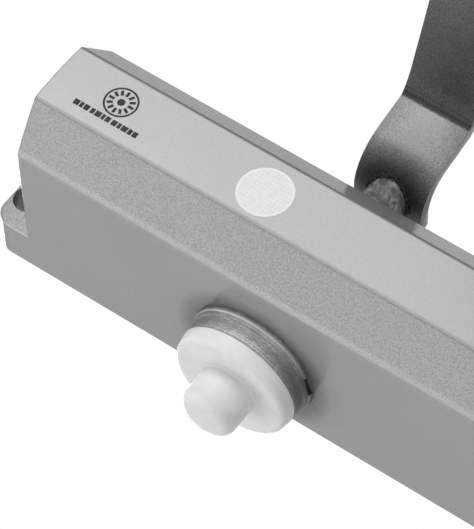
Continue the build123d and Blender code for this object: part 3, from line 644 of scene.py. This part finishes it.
# %% Label film
label_low, label_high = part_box("round_label")
label_centre = ((label_low[0] + label_high[0]) / 2, 0, (label_low[2] + label_high[2]) / 2)
label_radius = (label_high[0] - label_low[0]) / 2 / mm
label_rim = 0.9


def label_film():
    """White film with a faint woven grid."""
    material, tree = new_finish("woven_label_film")
    place = millimetres(tree, label_centre)
    cross, down = [add_node(tree, "ShaderNodeTexWave", bands_direction=direction, inputs={
        "Vector": place, "Scale": 0.3, "Distortion": 1.2, "Detail": 2.0, "Detail Scale": 1.5})
        for direction in ("X", "Z")]
    grid = maths(tree, "MAXIMUM", cross.outputs["Fac"], down.outputs["Fac"])
    lines = between(tree, grid, 0.75, 1.0)
    patches = pattern(tree, smudges, place, 4.0)
    blots = pattern(tree, smudges, place, 1.3)
    parts = split(tree, place)
    rim = between(tree, length_of(tree, parts["X"], parts["Z"]), label_radius - label_rim,
                  label_radius - label_rim + 0.5, 0.0, 0.8)
    faint = product(tree, lines, scaled(tree, patches["Mask"], 0.05, 0.3))
    colour = mixed(tree, faint, grey(0.84), grey(0.60))
    colour = mixed(tree, product(tree, blots["Mask"], 0.6), colour, grey(0.73))
    colour = mixed(tree, rim, colour, grey(0.88))
    surface(tree, colour, scaled(tree, lines, 0.35, 0.5), raised(tree, lines, 0.02))
    return material


# %% [markdown]
# Print on a casting is a thin dark ink with almost no shine, worn a little paler in places.

# %% Ink
def printed_ink():
    """Dark grey print, slightly rubbed."""
    material, tree = new_finish("dark_print")
    wear = pattern(tree, smudges, millimetres(tree), 0.8)["Mask"]
    colour = mixed(tree, wear, grey(0.03), grey(0.07))
    surface(tree, colour, scaled(tree, wear, 0.5, 0.65), Specular_IOR_Level=0.1)
    return material


# %% [markdown]
# The floor is pale paper. It glows a little for the camera and in reflections, so it looks
# as white as the room, and it still takes a faint shadow.

# %% Floor paper
def floor_paper():
    """Pale studio paper."""
    material, tree = new_finish("pale_floor_paper")
    grain = pattern(tree, fine_grain, millimetres(tree), 2.0)["Mask"]
    colour = mixed(tree, grain, grey(0.88), grey(0.9))
    shader = surface(tree, colour, scaled(tree, grain, 0.8, 0.9), Emission_Strength=0.72)
    glow = mixed(tree, seen_rays(tree), grey(0), grey(1))
    tree.links.new(glow, shader.inputs["Emission Color"])
    return material


floor_mesh.materials.append(floor_paper())

# %% [markdown]
# Each part's material slot in the record names its finish, so one table turns slots into
# materials. Two kinds of parts have a version of their own: the plugs and the spring seat are
# turned about the cylinder and not about the shaft, and the arm's hub is blasted and rough.

# %% Finishes by slot
along_body = (0, quarter_turn, 0)
hub_steel = rough_metal("blasted_hub_steel", grey(0.06), grey(0.46), 0.9, 0.6, 0.06, 0.3)
plug_steel = steel("turned_plug_steel", grey(0.25), grey(0.6), 0.3, 0.2, 4.0, cylinder_axis,
                   along_body)
finishes = {
    "body_paint": body_paint(),
    "arm_paint": arm_paint(),
    "turned_steel": nut_steel(),
    "plated_steel": steel("plated_screw_steel", grey(0.30), grey(0.46), 0.34, 0.6, 2.5, depth=0.004),
    "ground_steel": steel("ground_shaft_steel", grey(0.34), grey(0.50), 0.28, 0.12, 5.0, shaft_axis,
                          depth=0.004),
    "spring_steel": steel("oiled_spring_steel", grey(0.10), grey(0.22, (0.95, 0.98, 1.05)), 0.3,
                          0.5, 3.0, cylinder_axis, along_body, depth=0.005),
    "piston_iron": rough_metal("machined_piston_iron", grey(0.16), grey(0.34), 0.8, 0.42, 0.01, 0.8),
    "bush_bronze": steel("oiled_bronze", (0.42, 0.26, 0.11, 1), (0.68, 0.47, 0.24, 1), 0.35, 0.3,
                         2.0, shaft_axis),
    "black_rubber": rubber(),
    "white_plastic": milky_plastic(),
    "label_film": label_film(),
    "weld_scale": rough_metal("burnt_weld_scale", grey(0.004), grey(0.04, (1, 0.93, 0.85)), 0.5,
                              0.7, 0.15, 0.1),
}
print("finishes:", sorted(finishes))

# %% Dress the parts
slot_of = {part["node"]: part["material_slot"] for part in frame["record"]["subparts"]}
bodies = frame["record"]["behaviour"]["bodies"]
body_of = {node: body for body, nodes in bodies.items() for node in nodes}


def dress(node, material):
    """Puts one material in every slot of a part."""
    materials = frame["nodes"][node].data.materials
    if not materials:
        materials.append(material)
    for index in range(len(materials)):
        materials[index] = material


for node in frame["nodes"]:
    dress(node, finishes[slot_of[node]])
for node in ("left_end_plug", "right_end_plug", "spring_seat"):
    dress(node, plug_steel)
dress("arm_hub", hub_steel)
print("dressed", len(frame["nodes"]), "parts")

# %% [markdown]
# Real steel parts have no knife edges: strip is rolled or tumbled, and nuts are broken at
# their corners. A copy of the part has its loose triangles merged, its flat faces joined, and
# every corner sharper than a limit bevelled by up to a few tenths of a millimetre. The copy
# then takes the part's place and rides on the same body.

# %% Piece helpers
merge_gap = 0.002 * mm
same_plane = math.radians(0.4)
smooth_limit = math.radians(32)
sharp_corner = math.radians(28)


def shaded(name, shape, material):
    """Turns a bmesh into an object with smooth faces, sharp corners and one material."""
    mesh = bpy.data.meshes.new(name)
    shape.to_mesh(mesh)
    shape.free()
    mesh.shade_smooth()
    mesh.set_sharp_from_angle(angle=smooth_limit)
    piece = bpy.data.objects.new(name, mesh)
    bpy.context.scene.collection.objects.link(piece)
    mesh.materials.append(material)
    print(name, "faces", len(mesh.polygons))
    return piece


def finished(name, shape, body, material, replaced=()):
    """Makes a shaded object that rides on a body and may stand for parts."""
    piece = shaded(name, shape, material)
    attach(piece, body)
    if replaced:
        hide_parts(*replaced)


def merged_copy(node):
    """The part's mesh with its triangles joined up."""
    shape = bmesh.new()
    shape.from_mesh(frame["nodes"][node].data)
    bmesh.ops.remove_doubles(shape, verts=shape.verts, dist=merge_gap)
    return shape


# %% Broken edges
edge_widths = {
    "main_arm": 0.35 * mm,
    "frame_shoe": 0.3 * mm,
    "forearm_sleeve": 0.25 * mm,
    "upper_pinion_nut": 0.12 * mm,
    "lower_pinion_nut": 0.12 * mm,
}


def broken_edges(node, width):
    """Copy of a part with its sharp corners bevelled, in the part's place."""
    shape = merged_copy(node)
    bmesh.ops.dissolve_limit(shape, angle_limit=same_plane, verts=shape.verts, edges=shape.edges)
    corners = [edge for edge in shape.edges
               if edge.is_manifold and edge.calc_face_angle() > sharp_corner]
    bmesh.ops.bevel(shape, geom=corners, offset=width, offset_type="OFFSET", affect="EDGES",
                    segments=2, profile=0.5, material=-1, clamp_overlap=True)
    slot = slot_of[node]
    finished(f"{node}_dressed", shape, body_of[node], finishes[slot], [node])


for node, width in edge_widths.items():
    broken_edges(node, width)

# %% [markdown]
# The two main springs stand between the piston and their seat, and shorten as the piston comes
# towards it. A smooth-shaded copy of each spring takes the part's place and stays fixed there;
# it does not follow the piston.

# %% Main springs
def closing_spring(node):
    """Smooth-shaded copy of a spring, fixed in the part's place."""
    slot = slot_of[node]
    piece = shaded(f"{node}_dressed", merged_copy(node), finishes[slot])
    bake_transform(piece)
    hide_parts(node)


closing_spring("outer_main_spring")
closing_spring("inner_main_spring")

# %% [markdown]
# A weld bead is metal that froze in ripples: it rises and falls around the joint and carries
# small lumps of spatter. The part's plain ring is remeshed into even little faces, and each
# point moves in or out by a ripple that runs round the hub and by a finer noise.

# %% Weld bead
bead_face = 0.15 * mm
ripple_count = 17
ripple_drift = 3
drift_size = 3 * mm
ripple_height = 0.1
lump_size = 0.9 * mm
lump_height = 0.45
bead_sink = 0.12


def even_copy(node, face_size):
    """The part's shape remeshed into even little faces."""
    shape = merged_copy(node)
    mesh = bpy.data.meshes.new(f"{node}_source")
    shape.to_mesh(mesh)
    shape.free()
    source = bpy.data.objects.new(f"{node}_source", mesh)
    bpy.context.scene.collection.objects.link(source)
    remesh = source.modifiers.new("even_faces", "REMESH")
    remesh.mode = "VOXEL"
    remesh.voxel_size = face_size
    depsgraph = bpy.context.evaluated_depsgraph_get()
    ready = bpy.data.meshes.new_from_object(source.evaluated_get(depsgraph))
    bpy.data.objects.remove(source)
    even = bmesh.new()
    even.from_mesh(ready)
    even.normal_update()
    return even


def weld_bead():
    """Rippled, lumpy bead in place of the plain ring under the arm."""
    bead = even_copy("arm_weld", bead_face)
    for vert in bead.verts:
        angle = math.atan2(vert.co.y - shaft_y, vert.co.x - shaft_x)
        ripple = math.sin(ripple_count * angle + ripple_drift * noise.noise(vert.co / drift_size))
        lumps = noise.fractal(vert.co / lump_size, 0.6, 2.0, 3)
        rise = ripple_height * ripple + lump_height * lumps - bead_sink
        vert.co += vert.normal * rise * mm
    bmesh.ops.smooth_vert(bead, verts=bead.verts, factor=0.3, use_axis_x=True, use_axis_y=True,
                          use_axis_z=True)
    slot = slot_of["arm_weld"]
    finished("weld_bead", bead, body_of["arm_weld"], finishes[slot], ["arm_weld"])


weld_bead()

# %% [markdown]
# The front carries plain dark printing: a small dial with twelve even marks, and a line of bars
# of uneven lengths under it. They are thin solids a few hundredths of a millimetre proud, so
# they keep their edges at any distance.

# %% Thin print solids
print_height = 0.03 * mm
gap_share = 0.25
mark_ink = printed_ink()


def add_bar(shape, centre, length, width, angle=0.0):
    """Thin flat bar on the front face, turned about its middle."""
    size = Matrix.Diagonal((length, print_height, width, 1))
    place = Matrix.Translation((centre[0], front_y - print_height / 2, centre[1]))
    turned = place @ Matrix.Rotation(-angle, 4, "Y")
    bmesh.ops.create_cube(shape, size=1, matrix=turned @ size)


def print_piece(name, shape):
    """Makes a printed piece in ink that stays with the body."""
    bmesh.ops.recalc_face_normals(shape, faces=shape.faces)
    finished(name, shape, "closer_body", mark_ink)


# %% Ring mark
ring_centre = (-59.0 * mm, 1.15 * mm)
ring_radius = 4.4 * mm
ring_line = 0.5 * mm
dial_marks = 12
mark_middle = 2.75 * mm
mark_length = 1.5 * mm
mark_width = 0.75 * mm
hub_dot = 1.0 * mm


def ring_mark():
    """Plain dial: a ring, even marks inside it and a dot in the middle."""
    shape = bmesh.new()
    across, up = ring_centre
    flat = Matrix.Translation((across, front_y, up)) @ Matrix.Rotation(quarter_turn, 4, "X")
    for radius in (ring_radius, ring_radius - ring_line):
        bmesh.ops.create_circle(shape, segments=64, radius=radius, matrix=flat)
    ring = bmesh.ops.bridge_loops(shape, edges=shape.edges)
    grown = bmesh.ops.extrude_face_region(shape, geom=ring["faces"])
    moved = [item for item in grown["geom"] if isinstance(item, bmesh.types.BMVert)]
    bmesh.ops.translate(shape, verts=moved, vec=(0, -print_height, 0))
    for number in range(dial_marks):
        angle = 2 * math.pi * number / dial_marks
        middle = (across + mark_middle * math.cos(angle), up + mark_middle * math.sin(angle))
        add_bar(shape, middle, mark_length, mark_width, angle)
    proud = Matrix.Translation((0, -print_height / 2, 0)) @ flat
    bmesh.ops.create_cone(shape, cap_ends=True, segments=32, radius1=hub_dot, radius2=hub_dot,
                          depth=print_height, matrix=proud)
    print_piece("ring_mark", shape)


ring_mark()

# %% Line of print
line_centre = (-59.3 * mm, -4.7 * mm)
line_length = 18.6 * mm
line_height = 1.6 * mm
line_shares = (1.3, 0.8, 1.2, 0, 0.9, 1.4, 0.7, 1.1, 0, 1.2, 0.8, 1.4, 0.9, 1.1)


def print_line():
    """Line of bars of uneven lengths. A share of 0 leaves a wider gap."""
    shape = bmesh.new()
    scale = line_length / (sum(line_shares) + gap_share * (len(line_shares) - 1))
    start = line_centre[0] - line_length / 2
    for share in line_shares:
        if share:
            middle = (start + share * scale / 2, line_centre[1])
            add_bar(shape, middle, share * scale, line_height)
        start += (share + gap_share) * scale
    print_piece("print_line", shape)


print_line()

# %% [markdown]
# The two adjusting valves open in the left end. A plain 1 and 2 beside them tell the fitter
# which is which. Figures are easiest as text turned into a mesh, laid on the end face, bent to
# its crown and made a few hundredths of a millimetre thick.

# %% Valve numbers
number_size = 5 * mm
number_gap = 4 * mm


def figure_mesh(text):
    """Thin mesh of a plain figure, flat at the origin."""
    curve = bpy.data.curves.new(f"number_{text}", "FONT")
    curve.body = text
    curve.size = number_size
    curve.extrude = print_height
    curve.align_x = "CENTER"
    curve.align_y = "CENTER"
    holder = bpy.data.objects.new(f"number_{text}", curve)
    bpy.context.scene.collection.objects.link(holder)
    depsgraph = bpy.context.evaluated_depsgraph_get()
    mesh = bpy.data.meshes.new_from_object(holder.evaluated_get(depsgraph))
    bpy.data.objects.remove(holder)
    return mesh


def valve_number(text, screw):
    """Plain number beside a valve screw on the left end."""
    low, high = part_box(screw)
    level = (low[2] + high[2]) / 2
    shape = bmesh.new()
    shape.from_mesh(figure_mesh(text))
    facing = Matrix.Rotation(-quarter_turn, 4, "Z") @ Matrix.Rotation(quarter_turn, 4, "X")
    place = Matrix.Translation((left_side, high[1] + number_gap, level))
    bmesh.ops.transform(shape, matrix=place @ facing, verts=shape.verts)
    for vert in shape.verts:
        vert.co.x -= end_crown * (1 - (vert.co.z / half_width) ** 2)
    bmesh.ops.remove_doubles(shape, verts=shape.verts, dist=merge_gap)
    print_piece(f"valve_number_{text}", shape)


valve_number("1", "closing_valve_screw")
valve_number("2", "latching_valve_screw")
